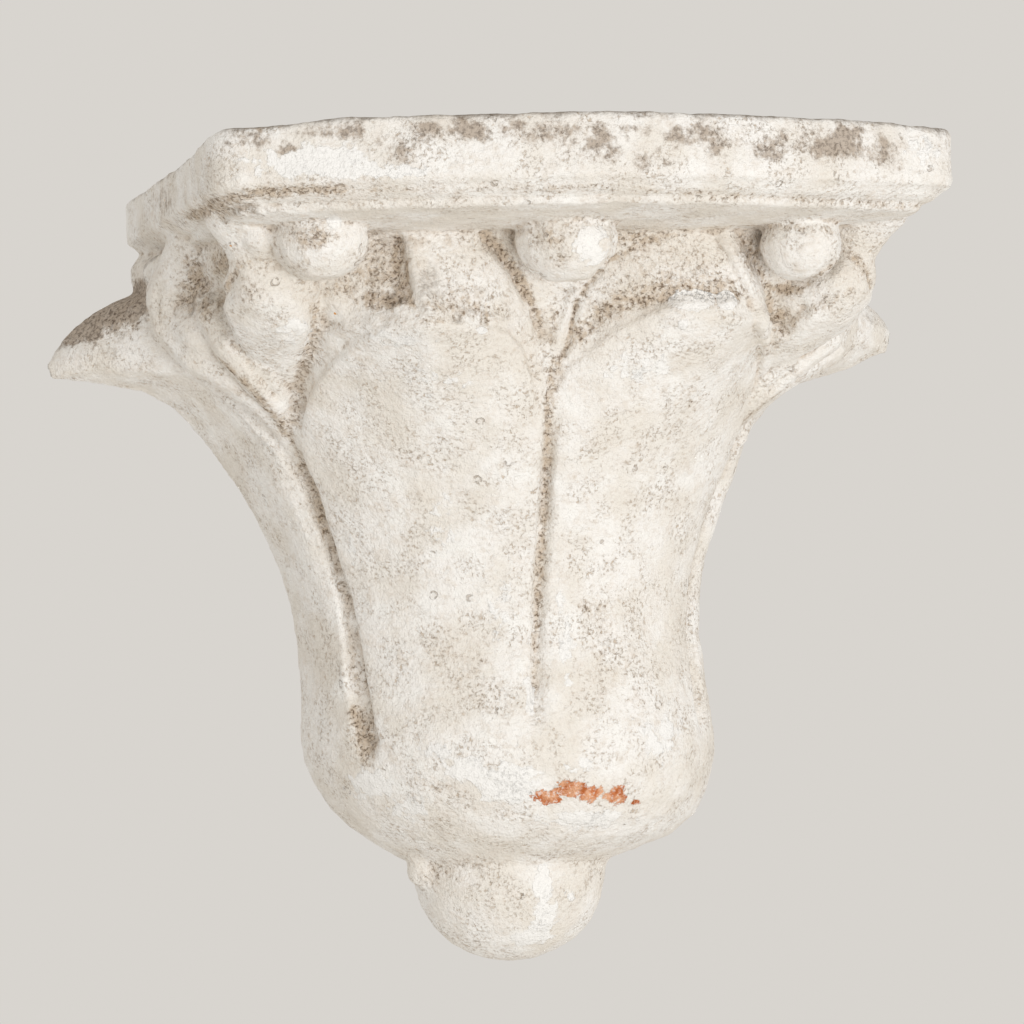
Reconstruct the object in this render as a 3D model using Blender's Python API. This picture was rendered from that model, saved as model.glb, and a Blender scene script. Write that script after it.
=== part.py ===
"""Wall corbel shaped like half a capital: a moulded shelf on a bell wrapped in four curling leaves.

Metres, +Z up, +X along the wall to the right, +Y into the wall.  The flat back lies in the plane y = 0
and the origin is on that back face, on the middle line.
"""
import bpy
import bmesh
import numpy as np
from math import cos, pi, radians, sin
from mathutils import Vector

for old in list(bpy.data.objects):
    bpy.data.objects.remove(old, do_unlink=True)

MM = 0.001

# Shelf
TOP = 0.150                 # height of the shelf's top above the origin
SHELF_HALF_WIDTH = 0.160
SHELF_DEPTH = 0.198         # wall to the front corners
SHELF_BOW = 0.027           # how far the middle of the front stands out past its corners
SHELF_CORNER = 0.016        # rounding of the two front corners in plan
FASCIA_HEIGHT = 0.025
MOULDING_REACH = 0.012      # how far the hollow and the fillet under the fascia step in
MOULDING_DROP = 0.0095      # height of the hollow and the fillet together
EDGE_WEAR = 0.007           # drop of the worn top edge on the left side

# Neck, the block between shelf and bell
NECK_HALF_WIDTH = 0.127     # at its front
NECK_WALL_HALF_WIDTH = 0.154
NECK_DEPTH = 0.141
NECK_FOOT = 0.046           # where leaves and neck meet, below the shelf's top

# Bell, collar and knob
BELL_RADIUS = 0.091         # at the waist
COLLAR_SWELL = 0.0025       # how far the collar stands out past the waist
COLLAR_LEVEL = 0.248        # widest place of the collar, below the shelf's top
HEIGHT = 0.346              # whole height, shelf's top to the foot of the knob
KNOB_RADIUS = 0.044
LEAN = 0.033                # sideways drift of the bell's middle line for each unit it goes down

# Leaves
BEAK_REACH = 0.193          # wall leaves, middle line of the bell to the beak's tip
BEAK_LEVEL = 0.080          # beak tips below the shelf's top
FRONT_REACH = 0.173         # broken front beaks
KEEL_ANGLE = 23.5           # plan angle of the front leaves' keels, degrees from straight ahead
GROOVE_DEPTH = 0.0048
GROOVE_END = 0.250          # lower end of the grooves, below the shelf's top

# Beads, stem and second row of leaves
BEAD_SPACING = 0.105
BEAD_RADIUS = 0.019
BEAD_LEVEL = 0.042
BEAD_DEPTH = 0.156
TONGUE_WIDTH = 0.037
CURL_THICKNESS = 0.028


def smooth(t):
    t = np.clip(t, 0.0, 1.0)
    return t * t * (3 - 2 * t)


def through(x, points):
    """Value at x of the broken line through (x, value) points, given in millimetres or degrees."""
    xs = [p[0] for p in points]
    ys = [p[1] for p in points]
    return float(np.interp(x, xs, ys))


def level(z):
    """Height of a drawn level of the bell: the collar and the foot of the knob follow their own sizes."""
    return through(z, [(-346, -HEIGHT / MM), (-248, -COLLAR_LEVEL / MM), (-134, -134), (0, 0)])


def midline(z):
    """Sideways place of the bell's middle line at the drawn level z, in millimetres."""
    slip = through(z, [(-346, -2), (-304, -1.5), (-298, 2.5), (-292, 6), (-285, 6), (-271, 3.7),
                       (-256, 2.2), (-225, 1.2), (-200, 0.3), (-170, 0)])
    return -LEAN * (z + 178) + slip


def as_point(x, y, z):
    """Millimetres measured from the shelf's top to metres in the shared frame."""
    return Vector((x * MM, y * MM, z * MM + TOP))


def solid(name, points, faces):
    mesh = bpy.data.meshes.new(name)
    mesh.from_pydata([tuple(p) for p in points], [], faces)
    form = bmesh.new()
    form.from_mesh(mesh)
    bmesh.ops.remove_doubles(form, verts=form.verts, dist=0.00002)
    bmesh.ops.triangulate(form, faces=form.faces)
    bmesh.ops.recalc_face_normals(form, faces=form.faces)
    if form.calc_volume(signed=True) < 0:
        bmesh.ops.reverse_faces(form, faces=form.faces)
    form.to_mesh(mesh)
    form.free()
    thing = bpy.data.objects.new(name, mesh)
    bpy.context.collection.objects.link(thing)
    return thing


def stacked(name, rings):
    """Closed solid through rings of equal point count, capped at both ends."""
    count = len(rings[0])
    points = [p for ring in rings for p in ring]
    faces = []
    for i in range(len(rings) - 1):
        for j in range(count):
            k = (j + 1) % count
            faces.append((i * count + j, i * count + k, (i + 1) * count + k, (i + 1) * count + j))
    last = (len(rings) - 1) * count
    faces.append(tuple(range(count)))
    faces.append(tuple(last + j for j in range(count)))
    return solid(name, points, faces)


def combine(body, other, how):
    step = body.modifiers.new(how.lower(), 'BOOLEAN')
    step.operation = how
    step.solver = 'EXACT'
    step.object = other
    bpy.context.view_layer.objects.active = body
    bpy.ops.object.modifier_apply(modifier=step.name)
    bpy.data.objects.remove(other, do_unlink=True)


def outer_radius(z):
    """Radius of the leaf-covered bell at the drawn level z, in millimetres."""
    knob = KNOB_RADIUS / MM
    waist = BELL_RADIUS / MM
    swell = COLLAR_SWELL / MM
    if z < -301:
        t = (-z - 301) / 45
        return max(2.0, knob * (1 - min(t, 1.0) ** 2.3) ** 0.5)
    return through(z, [(-301, knob + 2), (-297, waist - 34.3), (-291.5, waist - 22.7), (-285, waist - 14),
                       (-279, waist - 8.3), (-272, waist - 4.3), (-266, waist - 1.5),
                       (-258, waist + swell - 1.2), (-248, waist + swell), (-232, waist + 0.5 * swell),
                       (-212, waist - 0.5), (-196, waist), (-180, waist + 1.9), (-165, waist + 6.3),
                       (-150, waist + 12.4), (-137, waist + 18.6),
                       (-124, waist + 27), (-111, waist + 35.6), (-100, waist + 45), (-93, waist + 51.5),
                       (-87, waist + 61), (-84, waist + 75)])


def neck_radius(angle):
    """Distance from the middle line to the neck's faces in a plan direction, rounded at the corner."""
    turn = abs(radians(angle))
    front = NECK_DEPTH / MM / max(cos(turn), 1e-6)
    wall = NECK_WALL_HALF_WIDTH / MM
    taper = (wall - NECK_HALF_WIDTH / MM) / (NECK_DEPTH / MM)
    side = wall / (sin(turn) + taper * cos(turn))
    hard = 14.0
    return (front ** -hard + side ** -hard) ** (-1 / hard)


# Where the edge of a leaf runs, from the groove beside it (first column 0) to its tip (1).
# Radius and height are given as shares of the way from the groove's head to the tip.
EVEN = [(0.0, 0.0, 0.0), (0.10, 0.06, 0.34), (0.22, 0.16, 0.62), (0.36, 0.32, 0.86), (0.52, 0.50, 1.03),
        (0.75, 0.74, 1.10), (1.0, 1.0, 1.0)]
BLUNT = [(0.0, 0.0, 0.0), (0.10, 0.09, 0.36), (0.22, 0.22, 0.66), (0.36, 0.40, 0.89), (0.52, 0.61, 1.03),
         (0.72, 0.84, 1.06), (0.88, 0.96, 1.03), (1.0, 1.0, 1.0)]
FULL = [(0.0, 0.05, 0.08), (0.10, 0.19, 0.52), (0.22, 0.33, 0.84), (0.36, 0.49, 1.10), (0.52, 0.67, 1.17),
        (0.72, 0.86, 1.12), (0.88, 0.97, 1.04), (1.0, 1.0, 1.0)]


def groove_place(number, z):
    """Plan angle of a groove at height z: number -1, 0 or 1, left to right."""
    if number == 0:
        return through(z, [(-260, -7.0), (-249, -6.6), (-235, -5.6), (-213, -3.7), (-190, -2.0),
                           (-165, -0.6), (-150, 0.0)])
    return number * through(z, [(-260, 53.0), (-246, 54.0), (-207, 58.0), (-172, 60.5), (-100, 60.5)])


# Each leaf: its two borders, the plan angle of its keel, its lower and upper tip (radius, height), the
# pull of its top surface (0 is a straight slope from the tip back to the neck, 1 a full outward belly)
# and how late its underside turns outwards (the higher, the flatter the lip).
WALL_TIP = BEAK_REACH / MM
FRONT_TIP = FRONT_REACH / MM
TIP_LEVEL = -BEAK_LEVEL / MM
LEAVES = [
    dict(name="left", borders=(None, -1), edges=(EVEN, EVEN), keel=-90.0, belly=0.62, flick=14,
         low=(WALL_TIP, TIP_LEVEL - 3), high=(WALL_TIP + 1.5, TIP_LEVEL + 3)),
    dict(name="front left", borders=(-1, 0), edges=(BLUNT, BLUNT), keel=-KEEL_ANGLE + 2, belly=-0.15,
         flick=2.2, low=(FRONT_TIP, TIP_LEVEL + 1), high=(FRONT_TIP - 2, TIP_LEVEL + 6)),
    dict(name="front right", borders=(0, 1), edges=(BLUNT, FULL), keel=KEEL_ANGLE + 4, belly=-0.15,
         flick=2.2, low=(FRONT_TIP - 2, TIP_LEVEL + 3), high=(FRONT_TIP - 5, TIP_LEVEL + 8)),
    dict(name="right", borders=(1, None), edges=(EVEN, EVEN), keel=90.0, belly=1.05, flick=7,
         low=(WALL_TIP + 3.5, TIP_LEVEL + 4), high=(WALL_TIP + 6, TIP_LEVEL + 13)),
]

HEAD = (121.0, -114.0)      # head of a groove, where the leaf edges begin: radius and height
LEVELS_BELOW = [-346, -345, -342, -337, -330, -320, -309, -302, -298, -292, -284, -275, -264, -255, -247,
                -238, -222, -204, -186, -170, -156, -144, -134]
STEPS_OUT = [0.2, 0.4, 0.58, 0.74, 0.87, 0.95]
STEPS_BACK = [0.12, 0.28, 0.46, 0.64, 0.82, 1.0]
SHARES = [0.0, 0.03, 0.07, 0.13, 0.21, 0.31, 0.42]


def leaf_column(leaf, share, side):
    """One column of the body: share 0 lies in the groove, 1 on the keel; side is the groove's number."""
    def turn(z):
        start = groove_place(side, z)
        blend = smooth((z + 200) / 90)
        middle = (leaf["borders"][0] is not None and leaf["borders"][1] is not None)
        low_keel = leaf["keel"]
        if middle:
            low_keel = 0.5 * (groove_place(leaf["borders"][0], z) + groove_place(leaf["borders"][1], z))
        keel = low_keel + (leaf["keel"] - low_keel) * blend
        return start + (keel - start) * share

    if side == 0:
        in_groove = 1 - smooth(share / 0.10)
    elif abs(leaf["keel"]) > 60:
        in_groove = 1.3 - 1.55 * smooth(share / 0.15) + 0.25 * smooth((share - 0.15) / 0.5)
    else:
        in_groove = 1.3 * (1 - smooth(share / 0.13))
    column = []
    for z in LEVELS_BELOW:
        radius = outer_radius(z)
        fade = smooth((z + GROOVE_END / MM + 1) / 14)
        deeper = 1 + 0.5 * smooth((z + 200) / 70)
        radius -= GROOVE_DEPTH / MM * in_groove * fade * deeper
        swell = smooth((z + 200) / 60) * 3.0 * smooth(share / 0.5) * (1 if abs(leaf["keel"]) < 60 else 0)
        column.append((radius + swell, z, turn(z)))
    low = leaf["low"]
    course = leaf["edges"][0 if side == leaf["borders"][0] else 1]
    out = through(share, [(along, reach) for along, reach, _ in course])
    up = through(share, [(along, rise) for along, _, rise in course])
    edge = (HEAD[0] + (low[0] - HEAD[0]) * out, HEAD[1] + (low[1] - HEAD[1]) * up)
    start = column[-1]
    front = abs(leaf["keel"]) < 60
    flick = leaf["flick"] if front else 2 + (leaf["flick"] - 2) * smooth(share)
    flank = 0.0 if front else 18 * share * (1 - share)
    rise = edge[1] - start[1]
    for step in STEPS_OUT + [1.0]:
        z = start[1] + rise * step
        if front:
            steady = 0.60 * rise * step
            radius = start[0] + steady + (edge[0] - start[0] - 0.60 * rise) * step ** flick
        else:
            miss = start[0] - outer_radius(start[1])
            reach = edge[0] - outer_radius(edge[1])
            radius = outer_radius(z) + miss * (1 - step) + reach * step ** flick
            radius -= flank * smooth(step / 0.4) * (1 - step ** 6)
        column.append((radius, z, turn(z)))
    high = leaf["high"]
    lip_r = 0.8 + (high[0] - low[0] - 0.8) * smooth(share)
    lip_z = 1.2 + (high[1] - low[1] - 1.2) * smooth(share)
    lip = (edge[0] + lip_r, edge[1] + lip_z)
    column.append((lip[0], lip[1], turn(lip[1])))
    foot = -NECK_FOOT / MM
    stand = 0.0
    if front:
        stand = smooth(share / 0.45) if side == 0 else smooth((share - 0.78) / 0.22)
        foot = foot + 9.0 * stand
    neck = neck_radius(turn(foot)) + 9.0 * stand
    belly = leaf["belly"] * smooth(share)
    span = neck - lip[0]
    control_r = lip[0] + 0.5 * span + belly * 14 - 5 * (1 - smooth(share)) * smooth(span / 30)
    control_z = lip[1] + 0.5 * (foot - lip[1]) + belly * 10
    for t in STEPS_BACK:
        radius = (1 - t) ** 2 * lip[0] + 2 * t * (1 - t) * control_r + t * t * neck
        z = (1 - t) ** 2 * lip[1] + 2 * t * (1 - t) * control_z + t * t * foot
        column.append((radius, z, turn(z)))
    column.append((neck, -34.0, turn(foot)))
    column.append((neck - 12.0, -20.0, turn(foot)))
    return column


def leaf_columns(leaf):
    left, right = leaf["borders"]
    rising = SHARES + [0.54, 0.67, 0.80, 0.91, 1.0]
    columns = []
    if left is not None:
        columns += [leaf_column(leaf, s, left) for s in rising]
    if right is not None:
        falling = [leaf_column(leaf, s, right) for s in reversed(rising)]
        columns += falling[1:] if columns else falling
    return columns


def body():
    """Bell, leaves, neck, collar and knob as one closed form, running a little past the wall plane."""
    columns = []
    for leaf in LEAVES:
        new = leaf_columns(leaf)
        columns += new[1:] if columns else new
    grid = []
    for column in columns:
        line = []
        for radius, z, angle in column:
            turn = radians(angle)
            line.append(as_point(midline(z) + radius * sin(turn), -radius * cos(turn), level(z)))
        grid.append(line)
    back = 12 * MM
    for p in grid[0] + grid[-1]:
        p.y = 0.6 * MM
    first = [Vector((p.x, back, p.z)) for p in grid[0]]
    last = [Vector((p.x, back, p.z)) for p in grid[-1]]
    grid = [first] + grid + [last]
    rows = len(first)
    points = [p for line in grid for p in line]
    faces = []
    for i in range(len(grid) - 1):
        for j in range(rows - 1):
            faces.append((i * rows + j, (i + 1) * rows + j, (i + 1) * rows + j + 1, i * rows + j + 1))
    end = (len(grid) - 1) * rows
    faces.append(tuple(range(rows)) + tuple(end + j for j in reversed(range(rows))))
    faces.append(tuple(i * rows for i in range(len(grid))))
    faces.append(tuple(i * rows + rows - 1 for i in range(len(grid))))
    return solid("corbel", points, faces)


def shelf_ring(inset, z):
    """Outline of the shelf at one level, from the left back round the bowed front to the right back."""
    half = SHELF_HALF_WIDTH / MM - inset
    depth = SHELF_DEPTH / MM - inset
    bow = SHELF_BOW / MM
    corner = max(SHELF_CORNER / MM - 0.3 * inset, 4.0)
    ring = [(-half, 12.0), (-half, -0.5 * depth)]
    for k in range(5):
        turn = radians(22.5 * k)
        ring.append((-half + corner * (1 - cos(turn)), -depth + corner - corner * sin(turn)))
    flat = half - corner
    for k in range(1, 14):
        x = -flat + 2 * flat * k / 14
        ring.append((x, -depth - bow * (1 - (x / flat) ** 2)))
    mirrored = [(-x, y) for x, y in reversed(ring[:7])]
    return [as_point(x, y, z) for x, y in ring + mirrored]


def shelf():
    fascia = FASCIA_HEIGHT / MM
    reach = MOULDING_REACH / MM
    drop = MOULDING_DROP / MM
    profile = [(4.0, 0.0), (1.3, -0.5), (0.0, -3.0), (0.0, -fascia + 2.5), (1.0, -fascia)]
    steps = [(0.18, 0.03), (0.33, 0.16), (0.52, 0.40), (0.80, 0.58), (0.95, 0.62), (1.0, 0.70),
             (1.0, 0.96), (1.15, 1.0)]
    for share, fall in steps:
        profile.append((share * reach, -fascia - fall * drop))
    profile += [(reach + 30, -fascia - drop - 2.0), (reach + 60, -fascia - drop - 3.0)]
    return stacked("shelf", [shelf_ring(inset, z) for inset, z in profile])


def bead(x, depth, z, width, tall):
    rings = []
    for i in range(1, 8):
        rise = pi * i / 8
        ring = []
        for j in range(14):
            turn = 2 * pi * j / 14
            reach = width * sin(rise)
            ring.append(as_point(x + reach * cos(turn), -depth + reach * sin(turn), z + tall * cos(rise)))
        rings.append(ring)
    return stacked("bead", rings)


def tube(name, path, sides=10):
    """Round bar through stations of x, y, z and radius, in millimetres."""
    centres = [Vector(p[:3]) for p in path]
    rings = []
    for i, station in enumerate(path):
        ahead = centres[min(i + 1, len(path) - 1)] - centres[max(i - 1, 0)]
        ahead.normalize()
        across = ahead.cross(Vector((0.2, 1.0, 0.1))).normalized()
        over = ahead.cross(across).normalized()
        ring = []
        for j in range(sides):
            turn = 2 * pi * j / sides
            p = centres[i] + (across * cos(turn) + over * sin(turn)) * station[3]
            ring.append(as_point(p.x, p.y, p.z))
        rings.append(ring)
    return stacked(name, rings)


def tongue(side):
    """Second-row leaf under a front corner of the shelf, facing out over the corner, tapering below."""
    width = TONGUE_WIDTH / MM / 2
    stations = [(149, 152, -30, 0.80, 38), (147, 150, -35, 0.76, 36), (142, 144, -41, 0.62, 31),
                (138, 139, -48, 0.52, 26), (137, 137, -56, 0.84, 28), (135, 134, -66, 1.0, 31),
                (129, 123, -76, 0.96, 32), (120, 105, -84, 0.74, 28), (113, 86, -92, 0.50, 22),
                (107, 68, -102, 0.25, 15), (100, 54, -114, 0.12, 9)]
    section = [(-1.0, -0.25), (-0.72, -0.05), (-0.3, 0.06), (0.2, 0.06), (0.7, -0.03), (1.0, -0.25),
               (1.0, -1.0), (0.6, -1.6), (-0.6, -1.6), (-1.0, -1.0)]
    out = Vector((0.74, -0.67, 0)).normalized()
    along = Vector((0.67, 0.74, 0)).normalized()
    rings = []
    for x, depth, z, share, thick in stations:
        middle = Vector((x, -depth, z))
        half = max(width * share, 1.5)
        ring = []
        for a, b in section:
            p = middle + along * (a * half) + out * (b * thick)
            ring.append(as_point(p.x * side, p.y, p.z))
        rings.append(ring)
    return stacked("tongue", rings)


def tuck(side, z):
    """How far the lower ends on the right lie closer in than those on the left, in millimetres."""
    return 7 * smooth((-z - 74) / 12) if side > 0 else 0.0


def curl(side):
    """Rolled edge beside the wall leaf, hanging from the shelf and turning in under the tongue."""
    thick = CURL_THICKNESS / MM / 2
    path = [(140, -72, -28, 0.95), (144, -63, -40, 1.0), (148, -52, -53, 1.0), (147, -53, -66, 0.98),
            (139, -65, -77, 0.92), (127, -71, -87, 0.80), (116, -68, -97, 0.62), (105, -60, -109, 0.46),
            (96, -49, -121, 0.32)]
    return tube("curl", [((x - tuck(side, z)) * side, y, z, thick * r) for x, y, z, r in path])


def web(side):
    """Lower fold that closes the hollow between a curl and the tongue in front of it."""
    path = [(139, -70, -53, 7), (137, -82, -64, 10), (132, -88, -75, 11), (123, -86, -86, 10.5),
            (113, -77, -97, 8.5), (103, -64, -110, 5)]
    return tube("web", [((x - tuck(side, z)) * side, y, z, radius) for x, y, z, radius in path])


def wear(side):
    """Wedge that takes the worn top edge off one side of the shelf."""
    half = SHELF_HALF_WIDTH / MM
    drop = EDGE_WEAR / MM
    rings = []
    for y, share in [(30, 0.9), (-60, 0.85), (-120, 0.9), (-160, 0.75), (-185, 0.35), (-205, -0.3)]:
        low = -drop * share
        section = [(half + 20, low - 3), (half - 2, low + 0.5), (half - 26, 1.5 + 3 * (1 - share)),
                   (half - 20, 30), (half + 20, 30)]
        rings.append([as_point(side * x, y, z) for x, z in section])
    return stacked("wear", rings)


whitewash = bpy.data.materials.new("whitewashed terracotta")
whitewash.use_nodes = True
surface = whitewash.node_tree.nodes["Principled BSDF"]
surface.inputs["Base Color"].default_value = (0.78, 0.74, 0.67, 1.0)
surface.inputs["Roughness"].default_value = 0.9

corbel = body()
combine(corbel, shelf(), 'UNION')
for side in (-1, 1):
    combine(corbel, tongue(side), 'UNION')
    combine(corbel, curl(side), 'UNION')
    combine(corbel, web(side), 'UNION')
size = BEAD_RADIUS / MM
spacing = BEAD_SPACING / MM
ahead = BEAD_DEPTH / MM
hang = -BEAD_LEVEL / MM
combine(corbel, bead(-spacing - 3, ahead, hang, size * 1.08, size * 0.9), 'UNION')
combine(corbel, bead(-4, ahead + 7, hang - 1, size * 1.17, size * 0.97), 'UNION')
combine(corbel, bead(spacing - 3.5, ahead, hang - 3, size * 0.94, size * 0.84), 'UNION')
stem = tube("stem", [(-5, -156, -45, 18), (-5, -155, -54, 15.5), (-4.5, -154, -61, 11.5),
                     (-4, -152, -67, 7), (-3.5, -148, -73, 4), (-3, -142, -82, 3), (-2.5, -133, -93, 2.7),
                     (-2, -124, -105, 2)])
combine(corbel, stem, 'UNION')
combine(corbel, wear(-1), 'DIFFERENCE')

corners = [(-0.4, 0), (0.4, 0), (0.4, 0.1), (-0.4, 0.1)]
wall = stacked("wall", [[Vector((x, y, z)) for x, y in corners] for z in (-0.4, 0.4)])
combine(corbel, wall, 'DIFFERENCE')

form = bmesh.new()
form.from_mesh(corbel.data)
bmesh.ops.remove_doubles(form, verts=form.verts, dist=0.00002)
bmesh.ops.triangulate(form, faces=form.faces)
bmesh.ops.dissolve_degenerate(form, dist=0.00002, edges=form.edges)
bmesh.ops.triangulate(form, faces=form.faces)
for edge in form.edges:
    edge.smooth = len(edge.link_faces) == 2 and edge.calc_face_angle(0.0) < radians(32)
for face in form.faces:
    face.smooth = True
    face.material_index = 0
form.to_mesh(corbel.data)
form.free()

corbel.data.materials.clear()
corbel.data.materials.append(whitewash)
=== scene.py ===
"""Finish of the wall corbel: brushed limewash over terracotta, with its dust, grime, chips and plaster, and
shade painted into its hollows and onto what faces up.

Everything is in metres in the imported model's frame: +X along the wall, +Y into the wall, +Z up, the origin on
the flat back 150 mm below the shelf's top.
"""
from math import cos, pi, radians, sin, sqrt

import bmesh
import bpy
import numpy as np
from mathutils import Matrix, Vector
from mathutils.bvhtree import BVHTree
from mathutils.kdtree import KDTree


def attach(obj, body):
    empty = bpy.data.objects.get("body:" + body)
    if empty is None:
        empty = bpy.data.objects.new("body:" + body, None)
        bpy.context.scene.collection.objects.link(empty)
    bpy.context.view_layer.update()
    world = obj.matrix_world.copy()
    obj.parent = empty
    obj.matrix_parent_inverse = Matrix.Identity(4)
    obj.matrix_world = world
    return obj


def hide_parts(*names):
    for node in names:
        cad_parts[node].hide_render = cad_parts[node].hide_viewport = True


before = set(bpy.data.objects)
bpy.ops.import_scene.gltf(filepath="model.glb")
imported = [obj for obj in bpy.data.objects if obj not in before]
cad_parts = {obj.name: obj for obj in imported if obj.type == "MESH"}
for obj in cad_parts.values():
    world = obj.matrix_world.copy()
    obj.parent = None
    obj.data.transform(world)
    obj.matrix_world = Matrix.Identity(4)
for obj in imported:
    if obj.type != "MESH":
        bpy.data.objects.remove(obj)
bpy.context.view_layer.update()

MM = 0.001
SHELF_TOP = 0.150           # above the origin
PHOTO_SIDE = 1024           # width and height of the photograph, in pixels
PHOTO_FAR = 5000            # the camera's distance, and its focal length, in pixels of the photograph
PIXEL = 0.00045             # one pixel at the wall plane


# Kinds of node and their settings, used by both materials.
MATHS, MIX, SPAN = 'ShaderNodeMath', 'ShaderNodeMix', 'ShaderNodeMapRange'
NOISE, CELLS, KEPT = 'ShaderNodeTexNoise', 'ShaderNodeTexVoronoi', 'ShaderNodeAttribute'
TIMES, TIMES_PLUS = {"operation": 'MULTIPLY'}, {"operation": 'MULTIPLY_ADD'}
LESS, GREATEST = {"operation": 'SUBTRACT'}, {"operation": 'MAXIMUM'}
EASED = {"interpolation_type": 'SMOOTHSTEP'}
COLOURS = {"data_type": 'RGBA'}     # inputs 0, 6 and 7 are the share and the two colours, output 2 the mixture


# Camera and light

def at_photo_angle():
    """The photograph's view: from the viewer's left, a little below, and far off, so almost without depth."""
    azimuth, elevation, roll = radians(-15.0), radians(-3.695), radians(-2.197)
    far, aside, below = PHOTO_FAR * PIXEL, -37.1 * PIXEL, 322.3 * PIXEL
    back = Vector((sin(azimuth) * cos(elevation), -cos(azimuth) * cos(elevation), sin(elevation)))
    level = Vector((cos(azimuth), sin(azimuth), 0))
    upright = back.cross(level)
    right = level * cos(roll) + upright * sin(roll)
    up = upright * cos(roll) - level * sin(roll)
    place = Vector((0, 0, SHELF_TOP)) + back * far - right * aside - up * below
    lens = bpy.data.cameras.new("photo_camera")
    lens.sensor_width = 36
    lens.lens = lens.sensor_width * PHOTO_FAR / PHOTO_SIDE
    lens.clip_start = 0.05
    lens.clip_end = 60
    camera = bpy.data.objects.new("photo_camera", lens)
    camera.matrix_world = Matrix.Translation(place) @ Matrix((right, up, back)).transposed().to_4x4()
    bpy.context.collection.objects.link(camera)
    bpy.context.scene.camera = camera


def softbox(name, place, aim, width, height, watts):
    """A soft rectangular light that the camera doesn't see."""
    light = bpy.data.lights.new(name, 'AREA')
    light.shape = 'RECTANGLE'
    light.size = width
    light.size_y = height
    light.energy = watts
    box = bpy.data.objects.new(name, light)
    box.location = place
    box.visible_camera = False
    box.rotation_euler = (Vector(aim) - Vector(place)).to_track_quat('-Z', 'Y').to_euler()
    bpy.context.collection.objects.link(box)


def linear(code):
    """Linear colour of an sRGB hex code, by the sRGB curve."""
    parts = [int(code[i:i + 2], 16) / 255 for i in (1, 3, 5)]
    return tuple(c / 12.92 if c <= 0.04045 else ((c + 0.055) / 1.055) ** 2.4 for c in parts) + (1.0,)


def add(tree, kind, settings=None, out=None, **links):
    """Adds one node and gives it back, or its output socket of the name or number in out.  Settings are its
    properties, and links its inputs by name, or by number as in n0, each a value or another node's socket."""
    node = tree.nodes.new(kind)
    for name, value in (settings or {}).items():
        setattr(node, name, value)
    for name, value in links.items():
        wanted = name.replace("_", " ")
        found = [s for s in node.inputs if s.name == wanted and s.enabled]
        socket = node.inputs[int(name[1:])] if name[0] == "n" and name[1:].isdigit() else found[0]
        if isinstance(value, bpy.types.NodeSocket):
            tree.links.new(value, socket)
        else:
            socket.default_value = value
    return node if out is None else node.outputs[out]


def studio():
    """Pale paper floor that fades into the room, and one large soft light low at the front right."""
    bpy.context.scene.view_settings.view_transform = 'Standard'
    world = bpy.data.worlds.new("studio")
    world.use_nodes = True
    room = world.node_tree.nodes["Background"]
    room.inputs["Color"].default_value = linear("#f0ece6")
    room.inputs["Strength"].default_value = 0.79
    bpy.context.scene.world = world
    softbox("key_light", (0.50, -2.3, -0.58), (0, -0.1, -0.02), 1.5, 1.1, 24)
    mesh = bpy.data.meshes.new("floor")
    mesh.from_pydata([(-6, -6, 0), (6, -6, 0), (6, 6, 0), (-6, 6, 0)], [], [(0, 1, 2, 3)])
    floor = bpy.data.objects.new("floor", mesh)
    floor.location = (0, 0, -2.40)
    bpy.context.collection.objects.link(floor)
    # Matt seamless paper: an even pale ground without a horizon, because it fades out towards its edges.
    paper = bpy.data.materials.new("pale_studio_paper")
    paper.use_nodes = True
    tree = paper.node_tree
    shader = tree.nodes["Principled BSDF"]
    shader.inputs["Base Color"].default_value = linear("#e9e6e0")
    shader.inputs["Roughness"].default_value = 0.95
    place = add(tree, 'ShaderNodeTexCoord', out="Object")
    away = add(tree, 'ShaderNodeVectorMath', {"operation": 'LENGTH'}, "Value", n0=place)
    fade = add(tree, SPAN, EASED, 0, Value=away, From_Min=1.2, From_Max=5.0, To_Min=1.0, To_Max=0.0)
    tree.links.new(fade, shader.inputs["Alpha"])
    mesh.materials.append(paper)


# Patterns on points

def smooth(t):
    """Eases from 0 to 1."""
    t = np.clip(t, 0.0, 1.0)
    return t * t * (3 - 2 * t)


def mottle(points, cell, seed=1, octaves=1):
    """Gradient noise from -1 to 1 at each point, with lumps about one cell across; cell is in millimetres."""
    total = np.zeros(len(points))
    size, weight, whole = cell * MM, 1.0, 0.0
    for octave in range(octaves):
        grid = points / size + 17.3 * (octave + seed)
        corner = np.floor(grid).astype(np.int64)
        part = grid - corner
        ease = part ** 3 * (part * (part * 6 - 15) + 10)
        value = np.zeros(len(points))
        for step in np.ndindex(2, 2, 2):
            key = corner + step
            mixed = key[:, 0] * 73856093 ^ key[:, 1] * 19349663 ^ key[:, 2] * 83492791
            mixed = mixed ^ (seed + octave) * 2654435
            mixed = (mixed ^ (mixed >> 13)) * 1274126177 & 0x7FFFFFFF
            turn = (mixed & 0xFFFF) / 65536 * 2 * pi
            rise = ((mixed >> 15) & 0xFFFF) / 32768 - 1
            flat = np.sqrt(1 - rise ** 2)
            slope = np.stack([flat * np.cos(turn), flat * np.sin(turn), rise], axis=1)
            pull = np.prod(np.where(step, ease, 1 - ease), axis=1)
            value += pull * np.sum(slope * (part - step), axis=1)
        total += weight * value * 1.6
        whole += weight
        size, weight = size / 2, weight / 2
    return total / whole


# Mesh of the cast piece

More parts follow.
